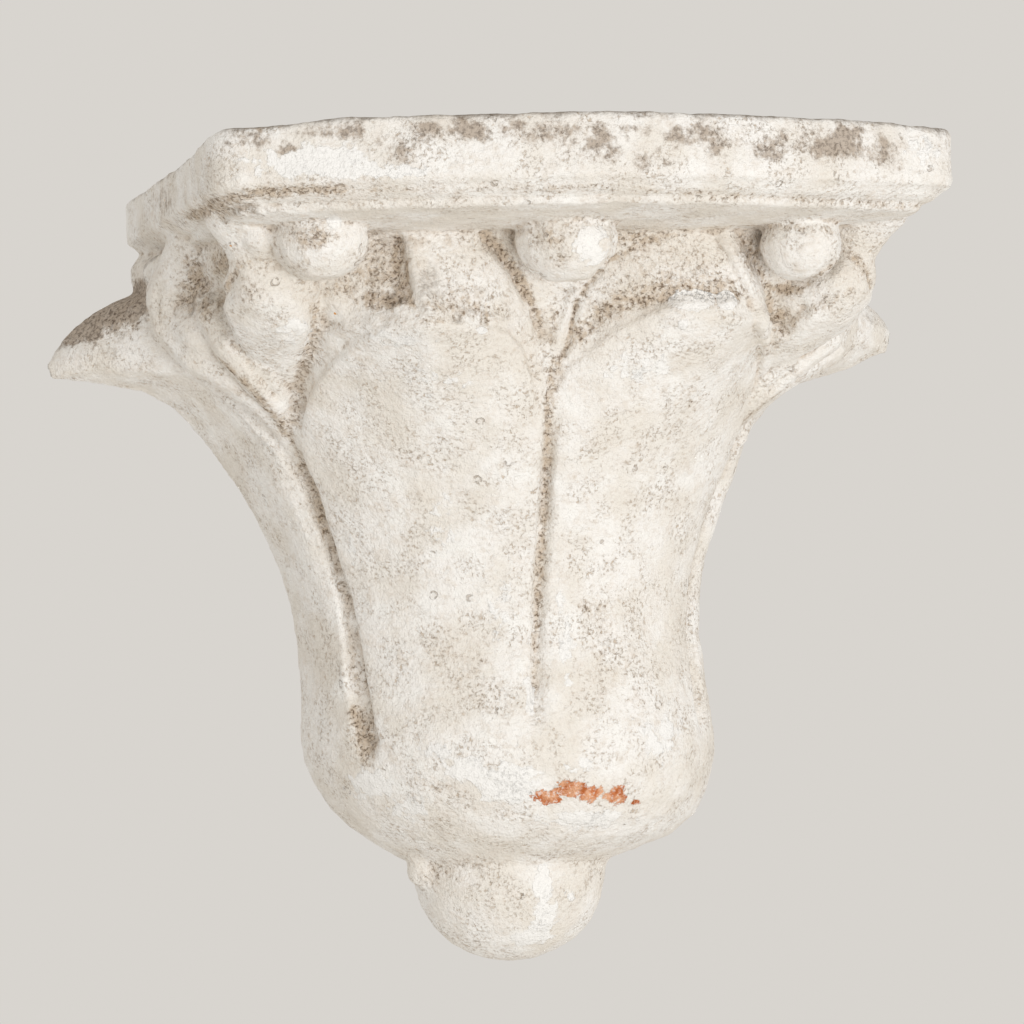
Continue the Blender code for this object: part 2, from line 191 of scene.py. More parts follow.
CAST_VOXEL = 0.0011
MOST_TRIANGLES = 193000     # keeps the cast under 200,000
LEAN = 0.033                # sideways drift of the bell's middle line for each unit it goes down
SKY_RAYS = 26
GOLDEN_TURN = 2.399963      # radians from ray to ray, which spreads them evenly
SKY_REACH = 60              # a surface further off than this, in millimetres, shelters nothing
MARK_DEPTH = 30             # how far a mark reaches before and behind its middle, in millimetres
BELL_MIDDLE = 0.178         # level below the shelf's top where the bell's middle line crosses x = 0


def plain(thing):
    """Turns an object and its modifiers into a plain mesh."""
    seen = thing.evaluated_get(bpy.context.evaluated_depsgraph_get())
    mesh = bpy.data.meshes.new_from_object(seen)
    thing.modifiers.clear()
    thing.data = mesh


def arrays(mesh):
    """Points, normals and edges of a mesh."""
    points = np.empty(len(mesh.vertices) * 3)
    mesh.vertices.foreach_get("co", points)
    outward = np.empty(len(mesh.vertices) * 3)
    mesh.vertices.foreach_get("normal", outward)
    edges = np.empty(len(mesh.edges) * 2, dtype=np.int64)
    mesh.edges.foreach_get("vertices", edges)
    return points.reshape(-1, 3), outward.reshape(-1, 3), edges.reshape(-1, 2)


def relax(values, edges, rounds, pull=0.5):
    """Averages each vertex's values with its neighbours' a number of times."""
    values = values.copy()
    count = np.bincount(edges.ravel(), minlength=len(values)).astype(float)
    for _ in range(rounds):
        near = np.zeros_like(values)
        for a, b in ((0, 1), (1, 0)):
            for k in range(values.shape[1]):
                near[:, k] += np.bincount(edges[:, a], weights=values[edges[:, b], k], minlength=len(values))
        values += (near / count[:, None] - values) * pull
    return values


def ball(form, place, radius):
    """Adds a small ball to a mesh in the making."""
    spot = Matrix.Translation(place)
    bmesh.ops.create_icosphere(form, subdivisions=2, radius=radius, matrix=spot)


def cast_mesh():
    """A fine copy of the solid with its fills fused on, facets and creases rounded over as pressed clay is."""
    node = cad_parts["corbel"]
    form = bmesh.new()
    form.from_mesh(node.data)
    bmesh.ops.remove_doubles(form, verts=form.verts, dist=0.00001)
    for stops in fills:
        for (xa, ya, za, ra), (xb, yb, zb, rb) in zip(stops[:-1], stops[1:]):
            for k in range(6):
                t = k / 5
                x, y, z, radius = (a + (b - a) * t for a, b in ((xa, xb), (ya, yb), (za, zb), (ra, rb)))
                ball(form, Vector((x * MM, -y * MM, z * MM + SHELF_TOP)), radius * MM)
    bare = BVHTree.FromBMesh(form)
    back = bpy.context.scene.camera.matrix_world.to_3x3().col[2]
    for radius, proud, corners in rolls:
        for p in seen_path(bare, corners):
            ball(form, Vector(p) - back * (radius - proud) * MM, radius * MM)
    mesh = bpy.data.meshes.new("corbel_cast")
    form.to_mesh(mesh)
    form.free()
    cast = bpy.data.objects.new("corbel_cast", mesh)
    bpy.context.collection.objects.link(cast)
    remesh = cast.modifiers.new("voxels", 'REMESH')
    remesh.mode = 'VOXEL'
    remesh.voxel_size = CAST_VOXEL
    plain(cast)
    points, _, edges = arrays(cast.data)
    soft = relax(points, edges, 3)          # facets rubbed over
    much = relax(soft, edges, 22)           # edges worn round
    worn = np.zeros(len(points))
    for x, y, z, radius, share in worn_places:
        away = np.linalg.norm(points / MM - (x, -y, z + SHELF_TOP / MM), axis=1) / radius
        worn = np.maximum(worn, share * (1 - smooth(away)))
    tree = surface_of(cast)
    for half, share, corners in rubbed_lines:
        path = seen_path(tree, corners)
        near = within(points, path, 2 * half)
        away = along(points[near], path)[0] / half
        worn[near] = np.maximum(worn[near], share * (1 - smooth(away / 1.5)))
    # The join of bell and knob is soft for 12 mm above and below, but not at the wall.
    ring = np.abs(points[:, 2] - KNOB_JOIN) / MM
    worn = np.maximum(worn, 0.9 * (1 - smooth(ring / 12)) * (points[:, 1] < -3 * MM))
    soft += (much - soft) * worn[:, None]
    # What touches the wall stays in its plane.
    flat = points[:, 1] > -1.2 * MM
    soft[flat, 1] = points[flat, 1]
    # The front edge of the shelf's top stands a little higher along its middle.
    crown = np.interp(soft[:, 0] / MM, (-140, -105, 45, 100, 150), (0, 2.1, 2.1, 1.3, 0))
    front = smooth((-soft[:, 1] / MM - 60) / 100) * smooth((soft[:, 2] / MM - 126) / 16)
    soft[:, 2] += crown * front * MM
    cast.data.vertices.foreach_set("co", soft.ravel())
    cast.data.update()
    return cast


def worked_surface(cast):
    """Presses lines, ridges, hollows and hand-made unevenness into the surface; the wall face stays flat."""
    points, outward, _ = arrays(cast.data)
    free = smooth((-points[:, 1] - 1.5 * MM) / (5 * MM)) * (1 - smooth((outward[:, 1] - 0.8) / 0.15))
    wobble = 1 + 0.45 * mottle(points, 9, seed=21) + 0.35 * mottle(points, 3.5, seed=22)
    depth = np.zeros(len(points))
    for kind, width, height, path in carved_lines(cast):
        near = within(points, path, 5 * width)
        away, share, side = along(points[near], path)
        ends = smooth(share / 0.08) * smooth((1 - share) / 0.08)
        if kind == "step":
            edge = side * away / width / np.sqrt(1 + (away / width) ** 2 * 4)
            press = edge * 2 * np.exp(-away / (2.2 * width))
        else:
            press = np.exp(-(away / width) ** 2)
        depth[near] += height * press * ends * wobble[near]
    for place, half, height in carved_spots(cast):
        near = within(points, [place], 2 * half)
        away = np.linalg.norm(points[near] - place, axis=1) / MM / half
        depth[near] += height * (1 - smooth(away / 1.4)) * wobble[near]
    broken = patches(cast, broken_marks)
    depth += broken * (1.3 * mottle(points, 6.0, seed=31) + 1.1 * mottle(points, 2.8, seed=32) - 0.4)
    for height, lump, seed, octaves in HAND_LUMPS:
        depth += height * mottle(points, lump, seed, octaves)
    depth += 0.16 * mottle(points * (0.35, 0.35, 1.6), 4.0, seed=9)      # level strokes of the brush
    moved = points + outward * (depth * free * MM)[:, None]
    moved[:, 1] = np.minimum(moved[:, 1], 0.0)
    cast.data.vertices.foreach_set("co", moved.ravel())
    cast.data.update()


def thin_out(cast):
    """Brings the piece under its number of triangles, and shades it smooth."""
    faces = sum(len(p.vertices) - 2 for p in cast.data.polygons)
    fewer = cast.modifiers.new("fewer", 'DECIMATE')
    fewer.ratio = min(1.0, MOST_TRIANGLES / faces)
    plain(cast)
    for face in cast.data.polygons:
        face.use_smooth = True


def one_skin(cast):
    """Deletes the specks, under 1 mm, that remeshing leaves inside the clay, so that one closed skin is left."""
    form = bmesh.new()
    form.from_mesh(cast.data)
    left, skins = set(form.verts), []
    while left:
        skin, ahead = [], [left.pop()]
        while ahead:
            vertex = ahead.pop()
            skin.append(vertex)
            for edge in vertex.link_edges:
                other = edge.other_vert(vertex)
                if other in left:
                    left.remove(other)
                    ahead.append(other)
        skins.append(skin)
    skins.sort(key=len)
    specks = [vertex for skin in skins[:-1] for vertex in skin]
    bmesh.ops.delete(form, geom=specks, context='VERTS')
    form.to_mesh(cast.data)
    form.free()


def sheltered_shade_and_dirt(cast):
    """Share of the sky hidden at each vertex by the piece itself, where dust and dirt stay and where the
    material paints shade.
    """
    points, outward, edges = arrays(cast.data)
    tree = surface_of(cast)
    chosen = range(0, len(points), 6)
    rays = []
    for i in range(SKY_RAYS):
        rise = 1 - (i + 0.5) / SKY_RAYS
        turn = i * GOLDEN_TURN
        rays.append((sqrt(1 - rise * rise) * cos(turn), sqrt(1 - rise * rise) * sin(turn), rise))
    reach = SKY_REACH * MM
    found = KDTree(len(chosen))
    hidden = []
    for n, i in enumerate(chosen):
        up = Vector(outward[i])
        side = up.orthogonal().normalized()
        over = up.cross(side)
        start = Vector(points[i]) + up * 0.6 * MM
        stopped = 0.0
        for a, b, c in rays:
            hit = tree.ray_cast(start, side * a + over * b + up * c, reach)
            if hit[0] is not None:
                stopped += 1 - hit[3] / reach * 0.7
        hidden.append(stopped / len(rays))
        found.insert(points[i], n)
    found.balance()
    hidden = np.array(hidden)
    values = np.empty(len(points))
    for i, p in enumerate(points):
        near = found.find_n(p, 3)
        values[i] = np.mean([hidden[n] for _, n, _ in near])
    return relax(values[:, None], edges, 2)[:, 0]


def hollows(cast):
    """How far each vertex lies below (over 0) or above (under 0) its smoothed surroundings, in millimetres."""
    points, outward, edges = arrays(cast.data)
    wide = relax(points, edges, 14)
    return np.sum((wide - points) * outward, axis=1) / MM


def lie(cast):
    """How far the surface as a whole faces up, from -1 to 1, without its small bumps."""
    _, outward, edges = arrays(cast.data)
    broad = relax(outward, edges, 16)
    return broad[:, 2] / np.linalg.norm(broad, axis=1)


def surface_of(cast):
    """The piece's surface, to cast rays at."""
    points = arrays(cast.data)[0]
    return BVHTree.FromPolygons(points.tolist(), [tuple(p.vertices) for p in cast.data.polygons])


def seen_at(tree, x, y):
    """Point of the piece that the camera sees at a place in the photograph's frame, or None beside it."""
    camera = bpy.context.scene.camera.matrix_world
    middle = PHOTO_SIDE / 2
    ray = camera.to_3x3() @ Vector(((x - middle) / PHOTO_FAR, (middle - y) / PHOTO_FAR, -1))
    return tree.ray_cast(camera.translation, ray.normalized())[0]


def seen_path(tree, corners):
    """The piece's surface along a broken line drawn in the photograph's frame, one point every six pixels."""
    found = []
    for (xa, ya), (xb, yb) in zip(corners[:-1], corners[1:]):
        parts = max(1, round(sqrt((xb - xa) ** 2 + (yb - ya) ** 2) / 6))
        for k in range(parts):
            found.append(seen_at(tree, xa + (xb - xa) * k / parts, ya + (yb - ya) * k / parts))
    found.append(seen_at(tree, *corners[-1]))
    return [np.array(p) for p in found if p is not None]


def mirrored(tree, path):
    """The same path on the other half of the piece."""
    other = []
    for p in path:
        middle = -LEAN * (p[2] - SHELF_TOP + BELL_MIDDLE)
        other.append(np.array(tree.find_nearest(Vector((2 * middle - p[0], p[1], p[2])))[0]))
    return other


def within(points, path, reach):
    """Which points lie in the path's box widened by a reach in millimetres."""
    path = np.array(path)
    low = path.min(axis=0) - reach * MM
    high = path.max(axis=0) + reach * MM
    return np.nonzero(np.all((points > low) & (points < high), axis=1))[0]


def along(points, path):
    """Distance in millimetres from each point to a path, the share of the path passed there, and its side as
    the camera sees it: 1 on the left of the path's direction, -1 on the right."""
    path = np.array(path)
    ahead = np.array(bpy.context.scene.camera.matrix_world.to_3x3().col[2])
    lengths = np.linalg.norm(path[1:] - path[:-1], axis=1)
    best = np.full(len(points), 1e9)
    share = np.zeros(len(points))
    side = np.zeros(len(points))
    done = 0.0
    for a, b, length in zip(path[:-1], path[1:], lengths):
        t = np.clip((points - a) @ (b - a) / max(length, 1e-9) ** 2, 0, 1)
        offset = points - a - t[:, None] * (b - a)
        away = np.linalg.norm(offset, axis=1) / MM
        nearer = away < best
        best = np.where(nearer, away, best)
        share = np.where(nearer, (done + t * length) / lengths.sum(), share)
        side = np.where(nearer, np.sign(np.cross(b - a, points - a) @ ahead), side)
        done += length
    return best, share, side


def carved_lines(cast):
    """Each carved line as kind, half width and height in millimetres, and its path on the surface."""
    tree = surface_of(cast)
    for kind, width, height, both, corners in lines:
        path = seen_path(tree, corners)
        yield kind, width, height, path
        if both:
            yield kind, width, -height if kind == "step" else height, mirrored(tree, path)


def carved_spots(cast):
    """Each dent or lump as its place on the surface, half width and height in millimetres."""
    tree = surface_of(cast)
    for x, y, half, height in spots:
        middle = seen_at(tree, x, y)
        if middle is None:
            continue
        yield np.array(middle), half, height


def stained(cast, stains):
    """Weight from 0 to 1 of dirt along lines: half width in millimetres, strength, both halves, corners."""
    points = arrays(cast.data)[0]
    tree = surface_of(cast)
    total = np.zeros(len(points))
    for width, strength, both, corners in stains:
        path = seen_path(tree, corners)
        for line in [path, mirrored(tree, path)] if both else [path]:
            near = within(points, line, 3 * width)
            away = along(points[near], line)[0]
            total[near] = np.maximum(total[near], strength * np.exp(-(away / width) ** 2))
    return total


def patches(cast, marks):
    """Weight from 0 to 1 of soft ovals: place in the photograph's frame, half width and height, strength."""
    points = arrays(cast.data)[0]
    tree = surface_of(cast)
    camera = bpy.context.scene.camera.matrix_world.to_3x3()
    across, upright, ahead = (np.array(camera.col[i]) for i in range(3))
    total = np.zeros(len(points))
    for x, y, half_width, half_height, strength in marks:
        middle = seen_at(tree, x, y)
        if middle is None:
            continue
        away = points - np.array(middle)
        oval = np.sqrt((away @ across / (half_width * MM)) ** 2 + (away @ upright / (half_height * MM)) ** 2
                       + (away @ ahead / (MARK_DEPTH * MM)) ** 2)
        total = np.maximum(total, strength * (1 - smooth(oval / 1.6)))
    return total


def keep(mesh, name, values):
    """Keeps one value for each vertex as an attribute that the material reads."""
    mesh.attributes.new(name, 'FLOAT', 'POINT').data.foreach_set("value", values.astype(np.float32))


# Limewash over terracotta

def limewash():
    """Terracotta under brushed coats of lime: chalky, pitted, cream where clean, and brown where dirt sits and
    where shade is painted into hollows.
    """
    coat = bpy.data.materials.new("limewashed_terracotta")
    coat.use_nodes = True
    tree = coat.node_tree
    shader = tree.nodes["Principled BSDF"]
    shader.inputs["IOR"].default_value = 1.45
    shader.inputs["Specular IOR Level"].default_value = 0.2
    place = add(tree, 'ShaderNodeTexCoord', out="Object")

    # A warp of up to 1.6 mm keeps pits and rings from being round.
    swirl = add(tree, NOISE, None, "Color", Vector=place, Scale=1 / (2.0 * MM), Detail=2.0)
    push = add(tree, 'ShaderNodeVectorMath', TIMES_PLUS, 0, n0=swirl, n1=(0.0016,) * 3, n2=place)
    stretched = add(tree, 'ShaderNodeMapping', None, 0, Vector=push, Scale=(0.28, 0.28, 1.0))

    # Lumps in the lime: size in millimetres, the noise's detail, roughness and distortion, and its points.
    noise = {}
    for name, size, detail, rough, bend, spot in (
            ("blotch", 26, 3.0, 0.55, 0.0, place),          # coats laid thick and thin
            ("cluster", 15, 4.0, 0.62, 0.0, place),         # where pits crowd together
            ("daub", 9, 3.0, 0.60, 0.0, push),              # the last, whitest lime
            ("cloud", 6.5, 5.0, 0.66, 0.0, place),          # lime rubbed by hand
            ("nick", 2.6, 1.0, 0.55, 0.0, place),           # gaps in the rings of bubbles
            ("crumb", 2.2, 2.0, 0.55, 0.0, place),          # body of the clay under the lime
            ("worm", 1.6, 4.0, 0.68, 0.4, place),           # short crooked pits
            ("stroke", 1.6, 3.0, 0.60, 0.0, stretched),     # level hairs of the brush
            ("grit", 0.9, 2.0, 0.60, 0.0, place)):          # sand, finer in life, drawn this coarse to show
        noise[name] = add(tree, NOISE, None, "Fac", Vector=spot, Scale=1 / (size * MM), Detail=detail,
                          Roughness=rough, Distortion=bend)

    # What lies on the lime or is lost from it, and the shade painted in hollows and on what faces up: the
    # attribute that it follows and its strength; the size, detail, roughness and points of the noise that breaks
    # up its edge, and how much it does so; where the sum of the two begins to show, where it is full, and its
    # most there.
    spread = {}
    for name, strength, size, detail, rough, spot, swing, low, high, most in (
            # Shade painted where the piece hides its own sky and in its hollows, mixed with dirt.
            ("sheltered_shade_and_dirt", 1.0, 6.5, 5.0, 0.66, place, 0.7, 0.44, 0.85, 0.6),
            ("hollow", 1.0, 6.5, 5.0, 0.66, place, 1.0, 0.25, 0.90, 0.6),
            ("dirt", 1.1, 3.4, 5.0, 0.78, place, 2.6, 0.22, 1.05, 1.0),
            # Dust, and shade painted on what faces up.
            ("dust_and_top_shade", 1.0, 16, 8.0, 0.78, place, 3.0, 0.30, 1.10, 0.85),
            ("grime", 1.0, 8, 6.0, 0.74, place, 2.0, 0.34, 0.72, 0.85),
            ("plaster", 1.0, 6, 4.0, 0.60, push, 1.8, 0.44, 0.60, 1.0),
            ("bare", 1.0, 4.5, 5.0, 0.72, push, 2.1, 0.48, 0.58, 1.0)):
        followed = add(tree, KEPT, {"attribute_name": name}, "Fac")
        followed = add(tree, MATHS, TIMES, 0, n0=followed, n1=strength)
        ragged = add(tree, NOISE, None, "Fac", Vector=spot, Scale=1 / (size * MM), Detail=detail,
                     Roughness=rough)
        ragged = add(tree, MATHS, LESS, 0, n0=ragged, n1=0.5)
        ragged = add(tree, MATHS, TIMES_PLUS, 0, n0=ragged, n1=swing, n2=followed)
        spread[name] = add(tree, SPAN, EASED, 0, Value=ragged, From_Min=low, From_Max=high, To_Max=most)

    # Each noise eased from nothing to its most between two of its values.
    share = {}
    for name, pattern, low, high, least, most in (
            ("thick", "blotch", 0.36, 0.60, 0.0, 1.0), ("rubbed", "cloud", 0.46, 0.70, 0.0, 0.7),
            ("brushed", "stroke", 0.52, 0.74, 0.0, 0.35), ("daubed", "daub", 0.50, 0.64, 0.0, 1.0),
            ("fresh", "blotch", 0.42, 0.58, 0.15, 0.8), ("crowded", "cluster", 0.42, 0.60, 0.12, 0.95),
            ("pitted", "worm", 0.50, 0.70, 0.0, 1.0), ("sooty", "worm", 0.44, 0.62, 0.0, 1.0),
            ("bared", "worm", 0.36, 0.50, 0.35, 1.0), ("baked", "cloud", 0.40, 0.60, 0.0, 1.0),
            ("unbroken", "nick", 0.46, 0.58, 0.0, 1.0)):
        share[name] = add(tree, SPAN, EASED, 0, Value=noise[pattern], From_Min=low, From_Max=high, To_Min=least,
                          To_Max=most)

    # Burst bubbles 3 mm across, at nearly half of the points 15 mm apart: broken rings.
    bubble = add(tree, CELLS, Vector=push, Scale=1 / (15 * MM))
    off = add(tree, MATHS, LESS, 0, n0=bubble.outputs["Distance"], n1=0.11)
    off = add(tree, MATHS, {"operation": 'ABSOLUTE'}, 0, n0=off)
    ring = add(tree, SPAN, EASED, 0, Value=off, From_Min=0.010, From_Max=0.034, To_Min=1.0, To_Max=0.0)
    chance = add(tree, 'ShaderNodeSeparateColor', None, 0, Color=bubble.outputs["Color"])
    chance = add(tree, MATHS, {"operation": 'GREATER_THAN'}, 0, n0=chance, n1=0.55)
    ring = add(tree, MATHS, TIMES, 0, n0=ring, n1=chance)
    ring = add(tree, MATHS, TIMES, 0, n0=ring, n1=share["unbroken"])

    dirty = add(tree, KEPT, {"attribute_name": "dirt"}, "Fac")
    pit = add(tree, MATHS, GREATEST, 0, n0=share["crowded"], n1=dirty)
    pit = add(tree, MATHS, TIMES, 0, n0=share["pitted"], n1=pit)
    # Pale brown: dirt, and shade painted into hollows and where the piece hides its own sky.
    soil_and_shade = add(tree, MATHS, GREATEST, 0, n0=spread["sheltered_shade_and_dirt"], n1=spread["hollow"])
    soil_and_shade = add(tree, MATHS, GREATEST, 0, n0=soil_and_shade, n1=spread["dirt"])
    packed_soil_and_shade = add(tree, MATHS, TIMES, 0, n0=soil_and_shade, n1=0.9)
    packed_soil_and_shade = add(tree, MATHS, TIMES, 0, n0=share["pitted"], n1=packed_soil_and_shade)
    white = add(tree, MATHS, TIMES, 0, n0=share["daubed"], n1=share["fresh"])
    chipped = add(tree, MATHS, TIMES, 0, n0=spread["bare"], n1=share["bared"])
    grain = add(tree, CELLS, None, "Distance", Vector=push, Scale=1 / (34 * MM))
    grain = add(tree, MATHS, {"operation": 'LESS_THAN'}, 0, n0=grain, n1=0.016)
    soot = add(tree, MIX, COLOURS, 2, n0=share["sooty"], n6=linear("#b9aa9a"), n7=linear("#87786a"))
    clay = add(tree, MIX, COLOURS, 2, n0=share["baked"], n6=linear("#c46d3a"), n7=linear("#eab08a"))

    colour = linear("#f1ece4")                              # lime in the shade of a thin coat
    for laid, most, over in (
            (share["thick"], 1.0, linear("#fbf9f6")),       # the same in a thick one
            (share["rubbed"], 1.0, linear("#e9e1d7")),      # rubbed thin, the clay's warmth showing through
            (share["brushed"], 1.0, linear("#ddd2c5")),
            (white, 1.0, linear("#fdfcf9")),
            (pit, 0.8, linear("#cdb79e")),
            (soil_and_shade, 0.8, linear("#c8b59e")),                 # pale brown dirt, and painted shade, in hollows
            (packed_soil_and_shade, 1.0, linear("#94745a")),               # darker in pits, dirt and painted shade alike
            (spread["dust_and_top_shade"], 1.0, linear("#83776a")),     # grey dust, and painted shade, on what faces up
            (spread["grime"], 1.0, soot),
            (ring, 0.45, linear("#a08a72")),
            (spread["plaster"], 1.0, linear("#fcfbf9")),
            (chipped, 1.0, clay),
            (grain, 1.0, linear("#d9a163"))):               # a grain of ochre here and there
        laid = add(tree, MATHS, TIMES, 0, n0=laid, n1=most)
        colour = add(tree, MIX, COLOURS, 2, n0=laid, n6=colour, n7=over)
    tree.links.new(colour, shader.inputs["Base Color"])

    # Chalky all over, a little closer where plaster is smoothed on and where the fired clay is bare.
    dull = add(tree, MIX, None, 0, n0=spread["plaster"], n2=0.93, n3=0.80)
    dull = add(tree, MIX, None, 0, n0=spread["bare"], n2=dull, n3=0.76)
    tree.links.new(dull, shader.inputs["Roughness"])

    # Fine relief, in millimetres.
    sunk = add(tree, MATHS, TIMES, 0, n0=packed_soil_and_shade, n1=noise["worm"])
    relief = 0.0
    for pattern, height in ((noise["cloud"], 0.9), (noise["stroke"], 0.35), (noise["grit"], 0.50),
                            (noise["crumb"], 0.90), (pit, -0.30), (ring, -0.5), (sunk, -0.8),
                            (spread["plaster"], 0.25), (spread["bare"], -0.15)):
        relief = add(tree, MATHS, TIMES_PLUS, 0, n0=pattern, n1=height, n2=relief)
    bump = add(tree, 'ShaderNodeBump', None, 0, Strength=1.0, Distance=1.0 * MM, Height=relief)
    tree.links.new(bump, shader.inputs["Normal"])
    return coat


# What the hand and the years left on the piece

KNOB_JOIN = -0.1505         # level of the soft join between bell and knob

# Unevenness that hands and the brush leave: height and size of the lumps in millimetres, seed, octaves.
HAND_LUMPS = [(0.80, 42, 3, 2), (0.45, 13, 5, 1), (0.26, 5.5, 8, 1), (0.17, 2.6, 12, 1)]

# Clay filled in by hand before the limewash: balls along a path, each x, depth, height from the shelf's top
# and radius, in millimetres.
fills = [
    [(-151, 8, -40, 8), (-150, 30, -40, 8), (-150, 62, -40, 7)],
    [(-152, 6, -47, 6), (-151, 28, -48, 6)],
    [(-38, 13, -300, 8), (-38.5, 12, -305, 7.5)],
]

# Rolls of clay laid along lines of the photograph's frame: radius and how far they stand proud, in millimetres.
rolls = [
    (9, 3.5, [(258, 232), (266, 250), (280, 270), (298, 284)]),
    (5, 2.4, [(724, 236), (736, 262), (750, 290), (760, 318), (765, 342)]),
    (9, 4.0, [(193, 322), (205, 342)]),
    (5, 1.8, [(408, 236), (412, 258), (419, 288), (429, 308)]),
    (5, 1.4, [(534, 702), (533, 716), (533, 730)]),
]

# Places rubbed round: x, depth, z below the shelf's top, radius, share.
worn_places = [
    (-152, 190, -4, 26, 0.9), (-158, 120, -8, 22, 0.5), (150, 198, -4, 12, 0.6), (-125, 170, -60, 26, 0.5),
    (-150, 60, -40, 30, 0.8), (150, 100, -45, 26, 0.6),
    (-37, 12, -312, 20, 0.9),
]

# Lines rubbed round in the photograph's frame: half width in millimetres, share, corners.
rubbed_lines = [
    (6, 0.95, [(552, 385), (548, 410), (546, 450), (543, 500), (540, 550), (537, 600), (535, 650), (534, 700),
               (533, 748)]),
    (5, 0.6, [(236, 400), (262, 432), (298, 500), (320, 560), (340, 640)]),
]

# Lines drawn in the photograph's frame, carved on the surface behind them: kind, half width and height in
# millimetres, whether the other half of the piece has it too, corners.  A step is high on its left side.
lines = [
    # Rib and gutter between the left wall leaf and its neighbour.
    ("line", 1.8, 1.5, True, [(191, 374), (219, 393), (240, 410), (258, 430), (277, 452), (304, 500),
                              (322, 550), (337, 600), (344, 650), (346, 705)]),
    ("line", 2.6, -0.9, True, [(283, 408), (298, 445), (317, 500), (333, 550), (345, 600), (352, 650),
                               (358, 700), (366, 745)]),
    ("line", 1.8, 0.9, False, [(112, 354), (150, 357), (172, 363), (191, 374)]),
    # Gutter between the two front leaves.
    ("line", 2.2, -1.0, False, [(556, 362), (551, 385), (548, 410), (547, 450), (545, 500), (541, 550),
                                (537, 600), (535, 650), (534, 700), (533, 748)]),
    ("line", 1.6, 0.5, False, [(566, 400), (558, 450), (555, 520), (550, 580), (546, 640)]),
    # Arched rim of the left front leaf, and what lies above it.
    ("step", 3.0, -2.0, False, [(301, 440), (303, 415), (310, 395), (325, 370), (345, 352), (365, 336),
                                (385, 327), (398, 323)]),
    ("step", 2.5, -1.3, False, [(440, 322), (470, 327), (505, 331), (524, 350), (532, 380), (537, 430)]),
    ("line", 3.0, 2.0, False, [(408, 232), (412, 258), (419, 288), (429, 308), (440, 317)]),
    ("line", 7.0, -3.2, False, [(388, 236), (390, 262), (394, 285), (402, 303)]),
    ("line", 1.0, -2.0, False, [(487, 309), (485, 326)]),
    ("line", 2.8, -3.0, False, [(476, 232), (498, 250), (514, 270), (528, 296), (540, 322), (547, 345)]),
    # Arched rim of the right front leaf, the hollow above it, its margins.
    ("step", 3.0, -1.1, False, [(556, 395), (568, 368), (585, 356), (605, 337), (619, 327), (644, 315),
                                (672, 305), (702, 302), (738, 303)]),
    ("line", 3.2, -2.0, False, [(580, 335), (600, 316), (620, 306), (645, 300), (672, 293), (700, 291),
                                (728, 292)]),
    ("line", 2.2, 1.8, False, [(721, 230), (735, 260), (750, 290), (761, 320), (767, 345), (764, 366),
                               (755, 386)]),
    ("line", 1.6, -1.3, False, [(573, 318), (588, 284), (609, 260), (627, 251), (650, 241), (676, 233)]),
    ("line", 1.5, 1.7, False, [(579, 284), (569, 300), (564, 320), (558, 338), (551, 354)]),
    ("line", 1.5, -2.6, False, [(577, 300), (572, 322), (568, 343), (561, 360)]),
    # Cup under the middle ball.
    ("line", 1.1, -1.2, False, [(519, 250), (530, 269), (546, 283), (566, 291), (590, 284), (612, 262)]),
    ("line", 1.1, -1.0, False, [(516, 262), (528, 279), (545, 291), (560, 297)]),
    # Curl and tongue on the left.
    ("line", 2.6, -0.9, True, [(163, 275), (157, 292), (156, 310), (161, 327), (174, 345), (205, 358),
                               (225, 372)]),
    ("line", 2.4, -1.6, True, [(240, 264), (229, 285), (218, 310), (224, 332), (243, 358), (262, 380),
                               (285, 408)]),
    ("line", 4.0, -1.6, True, [(199, 262), (203, 285), (206, 308)]),
    ("line", 3.4, -1.8, False, [(314, 300), (316, 325), (310, 350), (303, 372), (299, 396), (297, 420)]),
    # Edges on the right.
    ("line", 2.0, -1.6, False, [(740, 232), (750, 250), (760, 272), (768, 290), (770, 318)]),
    ("line", 2.0, 1.4, False, [(862, 290), (835, 302), (805, 315), (785, 330), (771, 346)]),
    ("line", 2.2, -1.2, False, [(836, 262), (815, 277), (800, 286)]),
    ("line", 5.0, -3.6, False, [(858, 290), (830, 300), (808, 308), (788, 322), (774, 334)]),
]

# Dents and lumps in the same frame: place, half width and height in millimetres.
spots = [
    (366, 742, 7, -4.0), (363, 722, 5, -2.2), (779, 314, 5, -1.6), (333, 224, 3.5, 1.3),
    (252, 300, 9, 1.2), (290, 335, 12, 1.6), (683, 324, 3, 0.8), (692, 301, 8, 2.2), (727, 302, 4.5, 2.0),
    (612, 205, 8, -0.8), (330, 300, 9, 1.6), (395, 130, 7, -0.9), (700, 122, 9, -0.8), (818, 124, 7, -0.9),
    (905, 128, 6, -0.7),
]

# Broken edges in the same frame: middle, half width and half height in millimetres, strength.
broken_marks = [
    (478, 305, 24, 12, 1.0), (385, 275, 14, 22, 0.7), (240, 215, 26, 14, 0.5), (310, 230, 10, 6, 0.5),
]

